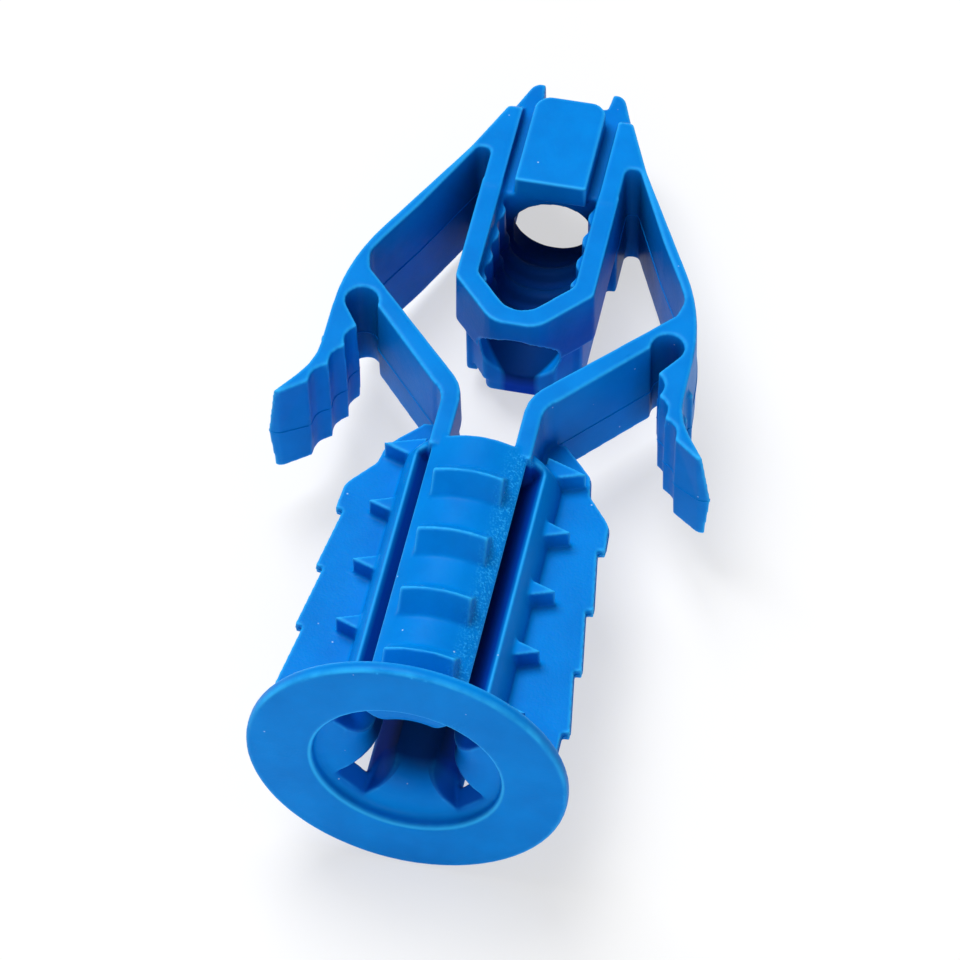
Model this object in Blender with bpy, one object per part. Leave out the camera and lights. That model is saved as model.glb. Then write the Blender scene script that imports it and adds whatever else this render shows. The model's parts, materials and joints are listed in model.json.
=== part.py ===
"""Plasterboard fixing with folding wings, moulded in one piece of blue plastic.

The moulding is worked out lying along +Y: the face of its flange is at Y = 0 and its tip is at +Y, its wings
spread along X, and its depth is along Z. At the end it is laid down as it comes to rest, on the edge of its
flange and on its tip.
"""

import math

import bmesh
import bpy
from mathutils import Matrix, Vector

MM = 0.001

# Flange and collar
FLANGE_DIAMETER = 16.0 * MM
FLANGE_THICKNESS = 0.72 * MM
FLANGE_EDGE = 0.14 * MM
COLLAR_DIAMETER = 10.2 * MM
COLLAR_LENGTH = 0.35 * MM
COLLAR_TAPER = 0.6 * MM

# Mouth and screw bore
MOUTH_DIAMETER = 9.4 * MM
MOUTH_EDGE = 0.15 * MM
MOUTH_DEPTH = 0.55 * MM
MOUTH_STEP = 0.3 * MM
BORE_DIAMETER = 4.2 * MM
BELL_WIDTH = 1.75 * MM
BELL_LENGTH = 1.5 * MM

# Shank
SHANK_DIAMETER = 8.2 * MM
SHANK_LENGTH = 17.9 * MM
SHOULDER_LENGTH = 1.4 * MM
SLOT_WIDTH = 1.2 * MM
SLOT_ANGLE = math.radians(46)
SLOT_END_WEB = 0.35 * MM
SLOT_ENTRY_WIDTH = 2.0 * MM
SLOT_ENTRY_LENGTH = 2.4 * MM
SLOT_ENTRY_WALL = 0.8 * MM

# Teeth and fins on the shank
TOOTH_START = 3.6 * MM
TOOTH_PITCH = 3.74 * MM
TOOTH_COUNT = 4
TOOTH_WIDTH = 3.6 * MM
TOOTH_BASE = 2.0 * MM
TOOTH_HEIGHT = 1.1 * MM
SIDE_TOOTH_REACH = 5.25 * MM
SIDE_TOOTH_BASE = 1.5 * MM
SIDE_TOOTH_HEIGHT = 1.45 * MM
FIN_THICKNESS = 0.65 * MM
FIN_REACH = 7.4 * MM
FIN_STEP = 0.4 * MM
FIN_TAPER = 0.16 * MM
FIN_TAIL_REACH = 5.5 * MM
FIN_TAIL_LENGTH = 3.3 * MM
FIN_TAIL_RADIUS = 1.0 * MM
MARK_DIAMETER = 2.6 * MM
MARK_DEPTH = 0.15 * MM

# Legs
DEPTH = 7.14 * MM
DRAFT = 0.06 * MM
LEG_GAP = 3.2 * MM
LEG_THICKNESS = 1.08 * MM
LEG_STRAIGHT = 3.4 * MM
LEG_SPREAD = math.radians(43.4)
LEG_BEND_RADIUS = 1.3 * MM

# Elbows and wings
ELBOW_REACH = 7.95 * MM
ELBOW_WALL = 1.47 * MM
ELBOW_RISE = 0.22 * MM
ELBOW_RADIUS = 12.0 * MM
ELBOW_POCKET = 2.1 * MM
ELBOW_HOLLOW = 0.25 * MM
KEYHOLE_RADIUS = 0.8 * MM
KEYHOLE_DROP = 2.2 * MM
KEYHOLE_LAP = math.radians(58)
WING_ROOT_THICKNESS = 1.7 * MM
GRIP_DROP = 1.75 * MM
GRIP_PITCH = 1.48 * MM
GRIP_COUNT = 3
GRIP_LEAN = math.radians(12)
GRIP_TURN = math.radians(10)
GRIP_DEPTH = 0.33 * MM
WING_FLARE_DROP = 6.5 * MM
WING_FLARE_ANGLE = math.radians(34)
WING_FLARE_RADIUS = 4.0 * MM
WING_FLARE_LENGTH = 3.2 * MM
WING_END_WIDTH = 0.55 * MM
WING_END_LEAN = math.radians(20)
WING_END_BULGE = 0.6 * MM
WING_END_LIFT = 0.2 * MM
UNDERSIDE_RISE = 1.4 * MM
UNDERSIDE_EDGE_RISE = 0.7 * MM
UNDERSIDE_RAMP = 0.9 * MM
WING_RIB_WIDTH = 0.6 * MM
WING_RIB_HEIGHT = 0.24 * MM
WING_RIB_LENGTH = 5.0 * MM
WING_RIB_DROPS = (4.2 * MM, 5.8 * MM)

# Arms
ARM_THICKNESS = 0.65 * MM
HINGE_THICKNESS = 0.42 * MM
ARM_CURVE = 6.0 * MM
CROTCH_HEIGHT = 9.2 * MM
CROTCH_RADIUS = 0.31 * MM

# Nut
NUT_WIDTH = 7.3 * MM
NUT_OPENING = 5.0 * MM
NUT_LOWER_WALL = 0.6 * MM
NUT_LENGTH = 15.35 * MM
NUT_END_WALL = 1.17 * MM
NUT_END_FLAT = 2.4 * MM
NUT_END_SLOPE = math.radians(47.6)
NUT_END_RADIUS = 1.6 * MM
NUT_SHOULDER = 0.5 * MM
NUT_NOSE = 1.2 * MM
NUT_PROUD = 0.03 * MM
CHANNEL_DIAMETER = 4.3 * MM
THREAD_DEPTH = 0.35 * MM
THREAD_PITCH = 1.6 * MM
THREAD_LEAN = math.radians(7)
THREAD_TOP_GAP = 0.9 * MM
CHANNEL_LIP = math.radians(12)
LOWER_BRIDGE_INSET = 1.3 * MM
LOWER_BRIDGE_LENGTH = 9.1 * MM
UPPER_PAD_LENGTH = 6.1 * MM
PAD_WIDTH = 3.8 * MM
UPPER_PAD_RISE = 0.45 * MM
LOWER_PAD_RISE = 0.05 * MM
PAD_GROOVE_DEPTH = 0.7 * MM
PAD_CORNER = 0.9 * MM

# Tip
TIP_LENGTH = 3.8 * MM
TIP_WIDTH = 6.6 * MM
TIP_SHOULDER = 0.35 * MM
TIP_LEDGE = 0.7 * MM
HORN_LENGTH = 1.9 * MM
HORN_GAP = 3.36 * MM
HORN_LEAN = 0.1 * MM
HORN_END_WIDTH = 0.67 * MM
HORN_FOOT_RADIUS = 0.16 * MM
HORN_RADIUS = 0.72 * MM
HORN_STEP = 0.7 * MM
HORN_RAMP = 0.7 * MM

# Fineness of the round shapes, and what joined shapes overlap by
ROUND_STEPS = 72
BORE_STEPS = 40
ARC_STEP = math.radians(15)
ARC_CHORD = 0.8 * MM
CORNER = 0.25 * MM
OVERLAP = 0.3 * MM
PAST = 1.0 * MM

HALF_DEPTH = DEPTH / 2
WING_X = ELBOW_REACH + ELBOW_WALL
SHANK_RADIUS = SHANK_DIAMETER / 2
BORE_RADIUS = BORE_DIAMETER / 2
CHANNEL_RADIUS = CHANNEL_DIAMETER / 2
COLLAR_END = FLANGE_THICKNESS + COLLAR_LENGTH + COLLAR_TAPER

LEG_INNER = LEG_GAP / 2
LEG_OUTER = LEG_INNER + LEG_THICKNESS
LEG_BEND = SHANK_LENGTH + LEG_STRAIGHT
ELBOW = LEG_BEND + (ELBOW_REACH - LEG_INNER) / math.tan(LEG_SPREAD)
CROTCH = ELBOW + CROTCH_HEIGHT
ELBOW_TOP = ELBOW + ELBOW_RISE
CROTCH_OUTER = NUT_WIDTH / 2 + 2 * CROTCH_RADIUS
ARM_RUN = Vector((WING_X - CROTCH_OUTER, CROTCH - ELBOW_TOP))
ARM_LEAN = math.atan2(ARM_RUN.x, ARM_RUN.y) - math.asin(HINGE_THICKNESS / ARM_RUN.length)
SHOULDER_X = CROTCH_OUTER + HINGE_THICKNESS / math.cos(ARM_LEAN)

PAD_END = CROTCH + TIP_LENGTH
NUT_END = PAD_END - NUT_LENGTH
UPPER_PAD_START = PAD_END - UPPER_PAD_LENGTH
LOWER_BRIDGE_START = NUT_END + LOWER_BRIDGE_INSET
LOWER_BRIDGE_END = LOWER_BRIDGE_START + LOWER_BRIDGE_LENGTH
WALL_ROOT = UPPER_PAD_START - OVERLAP
LEDGE_END = PAD_END + TIP_LEDGE
TIP = PAD_END + HORN_LENGTH

NUT_FORK = NUT_END + NUT_END_WALL + (NUT_OPENING / 2 - NUT_END_FLAT / 4) * math.tan(NUT_END_SLOPE)
RIDGE_RUN = NUT_OPENING / 2 * math.tan(THREAD_LEAN)
RIDGE_START = NUT_FORK + RIDGE_RUN
THREAD_COUNT = int((UPPER_PAD_START - RIDGE_START) / THREAD_PITCH + 0.6)


def turned_about(direction, angle):
    """The direction, turned anticlockwise by the angle."""
    return Matrix.Rotation(angle, 2) @ direction


def heading(lean):
    """A unit direction that leans from -Y towards +X."""
    return Vector((math.sin(lean), -math.cos(lean)))


def rounded(corners):
    """An outline through the corners (x, y, radius), each with a radius replaced by its arc."""
    outline = []
    for index, (x, y, radius) in enumerate(corners):
        corner = Vector((x, y))
        if radius == 0:
            outline.append(corner)
            continue
        before = (Vector(corners[index - 1][:2]) - corner).normalized()
        after = (Vector(corners[(index + 1) % len(corners)][:2]) - corner).normalized()
        half = before.angle(after) / 2
        middle = corner + (before + after).normalized() * (radius / math.sin(half))
        start = corner + before * (radius / math.tan(half)) - middle
        sweep = math.pi - 2 * half
        turn = math.copysign(1, before.x * after.y - before.y * after.x)
        steps = max(2, round(sweep / ARC_STEP), round(sweep * radius / ARC_CHORD))
        for step in range(steps + 1):
            outline.append(middle + turned_about(start, -turn * sweep * step / steps))
    return outline


def inset(outline, distance):
    """The closed outline with each side moved towards the inside."""
    area = sum(a.x * b.y - b.x * a.y for a, b in zip(outline, outline[1:] + outline[:1]))
    side = math.copysign(1, area)
    moved = []
    for index, point in enumerate(outline):
        before = (point - outline[index - 1]).normalized()
        after = (outline[(index + 1) % len(outline)] - point).normalized()
        normals = [Vector((-side * run.y, side * run.x)) for run in (before, after)]
        bisector = normals[0] + normals[1]
        moved.append(point + bisector * (distance / (1 + normals[0].dot(normals[1]))))
    return moved


def mirrored(outline):
    """The outline on the other side of X = 0."""
    return [Vector((-point.x, point.y)) for point in outline]


def new_object(name, shape):
    """An object made from a finished bmesh, with its faces pointing out."""
    bmesh.ops.recalc_face_normals(shape, faces=shape.faces)
    mesh = bpy.data.meshes.new(name)
    shape.to_mesh(mesh)
    shape.free()
    made = bpy.data.objects.new(name, mesh)
    bpy.context.scene.collection.objects.link(made)
    return made


def lofted(name, loops):
    """A closed solid through loops of points, each loop with the same number of them."""
    shape = bmesh.new()
    rings = [[shape.verts.new(point) for point in loop] for loop in loops]
    shape.faces.new(rings[0])
    shape.faces.new(rings[-1])
    for low, high in zip(rings, rings[1:]):
        for index in range(len(low)):
            following = (index + 1) % len(low)
            shape.faces.new((low[index], low[following], high[following], high[index]))
    return new_object(name, shape)


def stacked(name, levels):
    """A closed solid through (z, outline) levels."""
    return lofted(name, [[(p.x, p.y, z) for p in outline] for z, outline in levels])


def slab(name, outline, low, high):
    """The outline, extruded along Z from low to high."""
    return stacked(name, ((low, outline), (high, outline)))


def block(name, low, high):
    """A box between two corners."""
    corners = ((low[0], low[1]), (high[0], low[1]), (high[0], high[1]), (low[0], high[1]))
    return slab(name, [Vector(corner) for corner in corners], low[2], high[2])


def turned(name, profile, steps):
    """A solid turned about Y from a profile of (radius, y), with a facet at its top and at its bottom."""
    angles = [2 * math.pi * (step + 0.5) / steps for step in range(steps)]
    return lofted(name, [[(r * math.cos(a), y, r * math.sin(a)) for a in angles] for r, y in profile])


def hull(name, points):
    """The convex solid around the points."""
    shape = bmesh.new()
    for point in points:
        shape.verts.new(point)
    made = bmesh.ops.convex_hull(shape, input=shape.verts)
    spare = set(made["geom_interior"]) | set(made["geom_unused"])
    bmesh.ops.delete(shape, geom=list(spare), context="VERTS")
    return new_object(name, shape)


def combined(body, operation, others):
    """Joins the others to the body, or cuts them from it, and removes them."""
    for other in others:
        change = body.modifiers.new(other.name, "BOOLEAN")
        change.operation = operation
        change.solver = "EXACT"
        change.object = other
        graph = bpy.context.evaluated_depsgraph_get()
        result = bpy.data.meshes.new_from_object(body.evaluated_get(graph))
        body.modifiers.clear()
        spent = body.data
        body.data = result
        bpy.data.meshes.remove(spent)
        spent = other.data
        bpy.data.objects.remove(other)
        bpy.data.meshes.remove(spent)
    return body


def flange_and_shank():
    """The round flange, its collar, the shank and the sloping shoulders that carry the legs."""
    flange = FLANGE_DIAMETER / 2
    collar = COLLAR_DIAMETER / 2
    profile = [
        (flange - FLANGE_EDGE, 0),
        (flange, FLANGE_EDGE),
        (flange, FLANGE_THICKNESS - FLANGE_EDGE),
        (flange - FLANGE_EDGE, FLANGE_THICKNESS),
        (collar, FLANGE_THICKNESS),
        (collar, FLANGE_THICKNESS + COLLAR_LENGTH),
        (SHANK_RADIUS, COLLAR_END),
        (SHANK_RADIUS, SHANK_LENGTH),
        (LEG_OUTER, SHANK_LENGTH + SHOULDER_LENGTH),
    ]
    return turned("fixing_body", profile, ROUND_STEPS)


def mouth_and_bore():
    """What the mouth, the rounded entries of the four quarters and the bore take away."""
    mouth = MOUTH_DIAMETER / 2
    bell_start = MOUTH_DEPTH + MOUTH_STEP / 2
    profile = [
        (mouth + MOUTH_EDGE, -PAST),
        (mouth + MOUTH_EDGE, 0),
        (mouth, MOUTH_EDGE),
        (mouth, MOUTH_DEPTH),
        (mouth - MOUTH_STEP, bell_start),
    ]
    steps = 7
    for step in range(steps + 1):
        angle = math.pi / 2 * (1 - step / steps)
        radius = BORE_RADIUS + BELL_WIDTH * (1 - math.cos(angle))
        profile.append((radius, bell_start + OVERLAP / 6 + BELL_LENGTH * (1 - math.sin(angle))))
    profile.append((BORE_RADIUS, LEG_BEND + PAST))
    return turned("mouth", profile, BORE_STEPS)


def leg_gap():
    """The gap between the shoulders, past the end of the top and bottom quarters."""
    reach = SHANK_RADIUS + PAST
    side = LEG_INNER + LEG_THICKNESS / 4
    return block("leg_gap", (-side, SHANK_LENGTH, -reach), (side, LEG_BEND, reach))


def at_the_slots(make):
    """One cutter at each of the four slots, made by the function along +Z and turned into place."""
    cutters = []
    for angle in (SLOT_ANGLE, -SLOT_ANGLE, math.pi - SLOT_ANGLE, math.pi + SLOT_ANGLE):
        cutter = make()
        cutter.data.transform(Matrix.Rotation(angle, 4, "Y"))
        cutters.append(cutter)
    return cutters


def shank_slot():
    """A slot between two quarters of the shank, from behind the collar to just short of its end."""
    half = SLOT_WIDTH / 2
    return block("slot", (-half, COLLAR_END, 0), (half, SHANK_LENGTH - SLOT_END_WEB, SHANK_RADIUS + PAST))


def slot_entry():
    """The wider entry of a slot, between the rounded ends of two quarters inside the mouth."""
    start = MOUTH_DEPTH + MOUTH_STEP / 4
    rim = COLLAR_DIAMETER / 2 - SLOT_ENTRY_WALL
    deep = SHANK_RADIUS - 1.5 * SLOT_ENTRY_WALL
    points = []
    for half, y, reach in (
        (SLOT_ENTRY_WIDTH / 2, start, rim),
        (SLOT_WIDTH * 0.45, start + SLOT_ENTRY_LENGTH, deep),
    ):
        points += [(x, y, z) for x in (-half, half) for z in (BORE_RADIUS / 2, reach)]
    return hull("slot_entry", points)


def tooth_places():
    """How far along the shank each tooth is."""
    return [TOOTH_START + TOOTH_PITCH * number for number in range(TOOTH_COUNT)]


def board_teeth():
    """The wedge teeth on the top and bottom quarters. Below, a flat mark stands where the third would be."""
    half = TOOTH_WIDTH / 2
    base = TOOTH_BASE / 2 * (1 + OVERLAP / TOOTH_HEIGHT)
    steps = 4
    teeth = []
    for side in (1, -1):
        for number, place in enumerate(tooth_places()):
            if side == -1 and number == 2:
                continue
            points = []
            for radius, run in ((SHANK_RADIUS - OVERLAP, base), (SHANK_RADIUS + TOOTH_HEIGHT, 0)):
                for step in range(steps + 1):
                    angle = math.asin(half / radius) * (2 * step / steps - 1)
                    x = radius * math.sin(angle)
                    z = side * radius * math.cos(angle)
                    points += [(x, place + y, z) for y in sorted({-run, run})]
            teeth.append(hull(f"tooth_{number}_{side}", points))
    return teeth


def ejector_mark():
    """The shallow round mark on the bottom quarter."""
    place = tooth_places()[2]
    depth = SHANK_RADIUS - MARK_DEPTH
    radius = MARK_DIAMETER / 2
    angles = [2 * math.pi * step / BORE_STEPS for step in range(BORE_STEPS)]
    circle = [Vector((radius * math.cos(a), place + radius * math.sin(a))) for a in angles]
    return slab("ejector_mark", circle, -depth - PAST, -depth)


def side_teeth():
    """The pointed teeth beside the fins, above and below them."""
    inner = SHANK_RADIUS - PAST
    base = SIDE_TOOTH_BASE / 2
    teeth = []
    for place in tooth_places() + [TOOTH_START + TOOTH_PITCH * TOOTH_COUNT]:
        for side in (1, -1):
            feet = [
                (side * inner, place + y, z)
                for y in (-base, base)
                for z in (-SIDE_TOOTH_HEIGHT, SIDE_TOOTH_HEIGHT)
            ]
            edge = [(side * SIDE_TOOTH_REACH, place, z) for z in (-SIDE_TOOTH_HEIGHT, SIDE_TOOTH_HEIGHT)]
            teeth.append(hull(f"side_tooth_{place / MM:.0f}_{side}", feet + edge))
    return teeth


def fins():
    """The two thin fins in the parting plane, with saw teeth that point back at the flange."""
    root = FLANGE_THICKNESS / 2
    corners = [(BORE_RADIUS + OVERLAP, root, 0), (FIN_REACH - FIN_STEP, root, 0)]
    for number, place in enumerate(tooth_places()):
        reach = FIN_REACH - FIN_TAPER * number
        corners.append((reach - FIN_STEP, place, 0))
        corners.append((reach, place, 0))
    shoulder = SHANK_LENGTH + SHOULDER_LENGTH
    corners += [
        (reach - FIN_STEP / 4, place + FIN_TAIL_LENGTH / 2, FIN_TAIL_RADIUS),
        (FIN_TAIL_REACH, place + FIN_TAIL_LENGTH, FIN_TAIL_RADIUS / 2),
        (FIN_TAIL_REACH - FIN_STEP / 2, shoulder, FIN_TAIL_RADIUS / 2),
        (LEG_OUTER + FIN_TAIL_RADIUS, LEG_BEND - CORNER, 0),
        (LEG_OUTER - OVERLAP, LEG_BEND - CORNER, 0),
    ]
    outline = rounded(corners)
    half = FIN_THICKNESS / 2
    return [slab("fin_right", outline, -half, half), slab("fin_left", mirrored(outline), -half, half)]


def arm_outer(y):
    """How far out the arm's outer face is, at this height."""
    return SHOULDER_X + (CROTCH - y) * math.tan(ARM_LEAN)


def arm_inner(y, thickness):
    """How far out the arm's inner face is, at this height and for this thickness."""
    return arm_outer(y) - thickness / math.cos(ARM_LEAN)


def flare_end():
    """Where the outer face of the right wing ends, on top of the moulding."""
    return Vector((WING_X, ELBOW - WING_FLARE_DROP)) + heading(WING_FLARE_ANGLE) * WING_FLARE_LENGTH


def first_grip():
    """The tip of the first gripping tooth, next to the keyhole."""
    return Vector((WING_X - WING_ROOT_THICKNESS, ELBOW - KEYHOLE_DROP - GRIP_DROP))


def scallops():
    """The stepped gripping teeth on the inside of a wing, from its end back to the first tooth."""
    first = first_grip()
    cusps = [first]
    for number in range(GRIP_COUNT):
        cusps.append(cusps[-1] + heading(GRIP_LEAN + GRIP_TURN * number) * GRIP_PITCH)
    outline = []
    steps = 4
    for high, low in zip(reversed(cusps[:-1]), reversed(cusps[1:])):
        run = high - low
        outwards = Vector((run.y, -run.x)).normalized()
        for step in range(steps):
            share = step / steps
            outline.append(low + run * share + outwards * (GRIP_DEPTH * math.sin(math.pi * share)))
    outline.append(first)
    return outline


def keyhole(centre, first):
    """The round end of the slot between a wing and its leg, from the first gripping tooth to the leg."""
    towards = first - centre
    reach = towards.length
    lean = math.acos(KEYHOLE_RADIUS / reach)
    start = math.atan2(towards.y, towards.x) + lean
    end = math.pi - LEG_SPREAD + KEYHOLE_LAP
    steps = 12
    angles = [start + (end - start) * step / steps for step in range(steps + 1)]
    return [centre + KEYHOLE_RADIUS * Vector((math.cos(a), math.sin(a))) for a in angles]


def side_outline():
    """The right leg, elbow, wing, arm and tip in one outline, seen from above."""
    run = math.tan(LEG_SPREAD / 2)
    wall = NUT_OPENING / 2
    nut = NUT_WIDTH / 2
    horn = HORN_GAP / 2
    end = flare_end()
    first = first_grip()
    centre = Vector((ELBOW_REACH, ELBOW - KEYHOLE_DROP))
    grips = scallops()
    end_run = (end - grips[0]).normalized()
    end_inner = end - turned_about(end_run, WING_END_LEAN) * WING_END_WIDTH
    hinge_low = ELBOW + ELBOW_POCKET
    arm_middle = (ELBOW + CROTCH) / 2
    outer = [
        (wall, WALL_ROOT, 0),
        (wall, LEDGE_END - OVERLAP, 0),
        (horn - OVERLAP, LEDGE_END - OVERLAP / 4, 0),
        (horn, LEDGE_END + OVERLAP / 4, HORN_FOOT_RADIUS),
        (horn + HORN_LEAN, TIP, HORN_FOOT_RADIUS),
        (horn + HORN_LEAN + HORN_END_WIDTH, TIP, HORN_RADIUS),
        (TIP_WIDTH / 2, PAD_END - TIP_SHOULDER, HORN_RADIUS),
        (SHOULDER_X, CROTCH, ARM_CURVE),
        (WING_X, ELBOW_TOP, ELBOW_RADIUS),
        (WING_X, ELBOW - WING_FLARE_DROP, WING_FLARE_RADIUS),
        (end.x, end.y, CORNER / 2),
        (end_inner.x, end_inner.y, CORNER),
        (grips[0].x, grips[0].y, 0),
    ]
    inner = [
        (LEG_OUTER, LEG_BEND - LEG_THICKNESS * run, LEG_BEND_RADIUS),
        (LEG_OUTER, SHANK_LENGTH - OVERLAP * 2, 0),
        (LEG_INNER, SHANK_LENGTH - OVERLAP * 2, 0),
        (LEG_INNER, LEG_BEND, LEG_BEND_RADIUS + LEG_THICKNESS),
        (ELBOW_REACH, ELBOW, CORNER),
        (ELBOW_REACH + ELBOW_HOLLOW, ELBOW + ELBOW_POCKET / 2, ELBOW_POCKET / 2),
        (arm_inner(hinge_low, HINGE_THICKNESS) - ELBOW_HOLLOW, hinge_low, ARM_CURVE / 4),
        (arm_inner(arm_middle, ARM_THICKNESS), arm_middle, ARM_CURVE),
        (arm_inner(CROTCH, HINGE_THICKNESS), CROTCH, CROTCH_RADIUS),
        (nut, CROTCH, CROTCH_RADIUS),
        (nut, WALL_ROOT, 0),
    ]
    outline = rounded(outer + [(first.x, first.y, 0)] + inner)
    split = next(i for i, point in enumerate(outline) if (point - grips[0]).length < 1e-9)
    return outline[:split] + grips + keyhole(centre, first) + outline[split + 2 :]


def wing_end_moved(outline, bulge, lift):
    """The outline with the wing's end swollen outwards by the bulge, and shortened by the lift."""
    end = flare_end()
    run = heading(WING_FLARE_ANGLE)
    outwards = Vector((-run.y, run.x))
    moved = []
    for point in outline:
        near = max(0, 1 - (point - end).length / (2 * WING_END_WIDTH))
        low = 0
        if point.x > first_grip().x:
            low = min(1, max(0, 1 - (point.y - end.y) / (2 * WING_END_WIDTH)))
        moved.append(point + outwards * bulge * near + Vector((0, lift * low)))
    return moved


def sides():
    """The leg, wing and arm on each side. A wing's end is widest where the mould parts, and shortest below."""
    outline = side_outline()
    drawn = inset(outline, DRAFT)
    levels = (
        (-HALF_DEPTH, wing_end_moved(drawn, WING_END_BULGE / 3, WING_END_LIFT)),
        (0, wing_end_moved(outline, WING_END_BULGE, 0)),
        (HALF_DEPTH, drawn),
    )
    left = tuple((z, mirrored(shape)) for z, shape in levels)
    return [stacked("side_right", levels), stacked("side_left", left)]


def horn_ramps():
    """What lowers the horns, on both faces of the moulding, down to the floor of the grooves beside the pad."""
    level = HALF_DEPTH - PAD_GROOVE_DEPTH - NUT_PROUD
    start = PAD_END - HORN_STEP
    slope = (HALF_DEPTH - level) / HORN_RAMP
    profile = [
        (start - PAST, HALF_DEPTH + slope * PAST),
        (start + HORN_RAMP, level),
        (TIP + PAST, level),
        (TIP + PAST, HALF_DEPTH + slope * PAST),
    ]
    side = TIP_WIDTH / 2 + PAST
    return [
        lofted(f"horn_ramp_{face}", [[(x, y, face * z) for y, z in profile] for x in (-side, side)])
        for face in (1, -1)
    ]


def underside():
    """What cuts the undersides of the legs and the wings back, least at the outer edge of the wings."""
    level = UNDERSIDE_RISE - HALF_DEPTH
    inner = first_grip().x
    edge = flare_end().x
    slope = (UNDERSIDE_RISE - UNDERSIDE_EDGE_RISE) / (edge - inner)
    wide = edge + PAST
    low = level - slope * (wide - inner)
    deep = -HALF_DEPTH - PAST
    profile = [(-wide, deep), (wide, deep), (wide, low), (inner, level), (-inner, level), (-wide, low)]
    start = SHANK_LENGTH + OVERLAP
    end = ELBOW + KEYHOLE_RADIUS
    drop = UNDERSIDE_RISE + NUT_PROUD
    places = (
        (start, drop),
        (start + UNDERSIDE_RAMP, 0),
        (end - UNDERSIDE_RAMP, 0),
        (end, drop),
    )
    return lofted("underside", [[(x, y, z - down) for x, z in profile] for y, down in places])


def wing_ribs():
    """The two upright ribs on the outside of each wing, which run out towards their ends."""
    half = WING_RIB_WIDTH / 2
    long = WING_RIB_LENGTH / 2
    ribs = []
    for side in (1, -1):
        for number, drop in enumerate(WING_RIB_DROPS):
            place = ELBOW - drop
            feet = [
                (side * (WING_X - OVERLAP), place + y, z)
                for y in (-half, half)
                for z in (-long - half, long + half)
            ]
            crest = [
                (side * (WING_X + WING_RIB_HEIGHT), place + y, z)
                for y in (-half / 2, half / 2)
                for z in (-long + half, long)
            ]
            ribs.append(hull(f"wing_rib_{number}_{side}", feet + crest))
    return ribs


def nut_outline():
    """The free end of the nut with both its walls: a blunt V, open towards the tip."""
    nut = NUT_WIDTH / 2 + NUT_PROUD
    wall = NUT_OPENING / 2 - NUT_PROUD
    root = WALL_ROOT + OVERLAP * 2
    flat = NUT_END_FLAT / 2
    rise = math.tan(NUT_END_SLOPE)
    inner_end = NUT_END + NUT_END_WALL
    right = [
        (nut, root, 0),
        (nut, NUT_END + (nut - flat) * rise, NUT_SHOULDER),
        (flat, NUT_END, NUT_END_RADIUS),
    ]
    right_inside = [
        (flat / 2, inner_end, NUT_END_RADIUS * 0.75),
        (wall, inner_end + (wall - flat / 2) * rise, NUT_SHOULDER),
        (wall, root, 0),
    ]
    left = [(-x, y, radius) for x, y, radius in reversed(right)]
    left_inside = [(-x, y, radius) for x, y, radius in reversed(right_inside)]
    return rounded(right + left + left_inside + right_inside)


def nut_upper_half():
    """The two walls of the nut and its blunt end above the parting plane, drawn in towards the top."""
    outline = nut_outline()
    return stacked("nut_upper_half", ((0, outline), (HALF_DEPTH - NUT_PROUD, inset(outline, DRAFT))))


def nut_lower_walls():
    """The thinner walls below the parting plane, which stop short of the blunt end."""
    wall = NUT_OPENING / 2
    inner = wall - 2 * NUT_PROUD
    outer = wall + NUT_LOWER_WALL
    start = LOWER_BRIDGE_START + NUT_NOSE - OVERLAP / 2
    root = WALL_ROOT + OVERLAP * 2
    outline = rounded([(inner, root, 0), (inner, start, 0), (outer, start, CORNER), (outer, root, 0)])
    low = NUT_PROUD - HALF_DEPTH
    return [
        slab("nut_lower_wall_right", outline, low, OVERLAP),
        slab("nut_lower_wall_left", mirrored(outline), low, OVERLAP),
    ]


def nut_bridges():
    """The bridges below the channel and above it at the tip, and what the screw's ridges are cut from."""
    wall = NUT_OPENING / 2 + OVERLAP
    nose = PAD_WIDTH / 2
    floor = HALF_DEPTH - PAD_GROOVE_DEPTH
    shoulder = LOWER_BRIDGE_START + NUT_NOSE
    outline = [
        Vector(point)
        for point in (
            (-nose, LOWER_BRIDGE_START),
            (nose, LOWER_BRIDGE_START),
            (wall, shoulder),
            (wall, LOWER_BRIDGE_END),
            (-wall, LOWER_BRIDGE_END),
            (-wall, shoulder),
        )
    ]
    lower = slab("lower_bridge", outline, -floor, OVERLAP)
    upper = block("upper_bridge", (-wall, UPPER_PAD_START, -OVERLAP), (wall, LEDGE_END, floor))
    ridged = [
        Vector(point)
        for point in (
            (-wall, RIDGE_START - RIDGE_RUN),
            (wall, RIDGE_START + RIDGE_RUN),
            (wall, UPPER_PAD_START + OVERLAP),
            (-wall, UPPER_PAD_START + OVERLAP),
        )
    ]
    ridges = slab("ridges", ridged, OVERLAP - floor, HALF_DEPTH - THREAD_TOP_GAP)
    return [lower, upper, ridges]


def nut_pads():
    """The raised pads between the walls: one above at the tip, and a six-sided one below."""
    half = PAD_WIDTH / 2
    upper = rounded(
        [
            (-half, UPPER_PAD_START + NUT_PROUD, 0),
            (half, UPPER_PAD_START + NUT_PROUD, 0),
            (half, PAD_END, PAD_CORNER),
            (-half, PAD_END, PAD_CORNER),
        ]
    )
    point = LOWER_BRIDGE_END + OVERLAP
    lower = rounded(
        [
            (-half, LOWER_BRIDGE_START + NUT_PROUD, PAD_CORNER / 2),
            (half, LOWER_BRIDGE_START + NUT_PROUD, PAD_CORNER / 2),
            (half, point - half, PAD_CORNER),
            (0, point, PAD_CORNER),
            (-half, point - half, PAD_CORNER),
        ]
    )
    floor = HALF_DEPTH - PAD_GROOVE_DEPTH - OVERLAP
    return [
        slab("upper_pad", upper, floor, HALF_DEPTH + UPPER_PAD_RISE),
        slab("lower_pad", lower, -HALF_DEPTH - LOWER_PAD_RISE, -floor),
    ]


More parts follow.
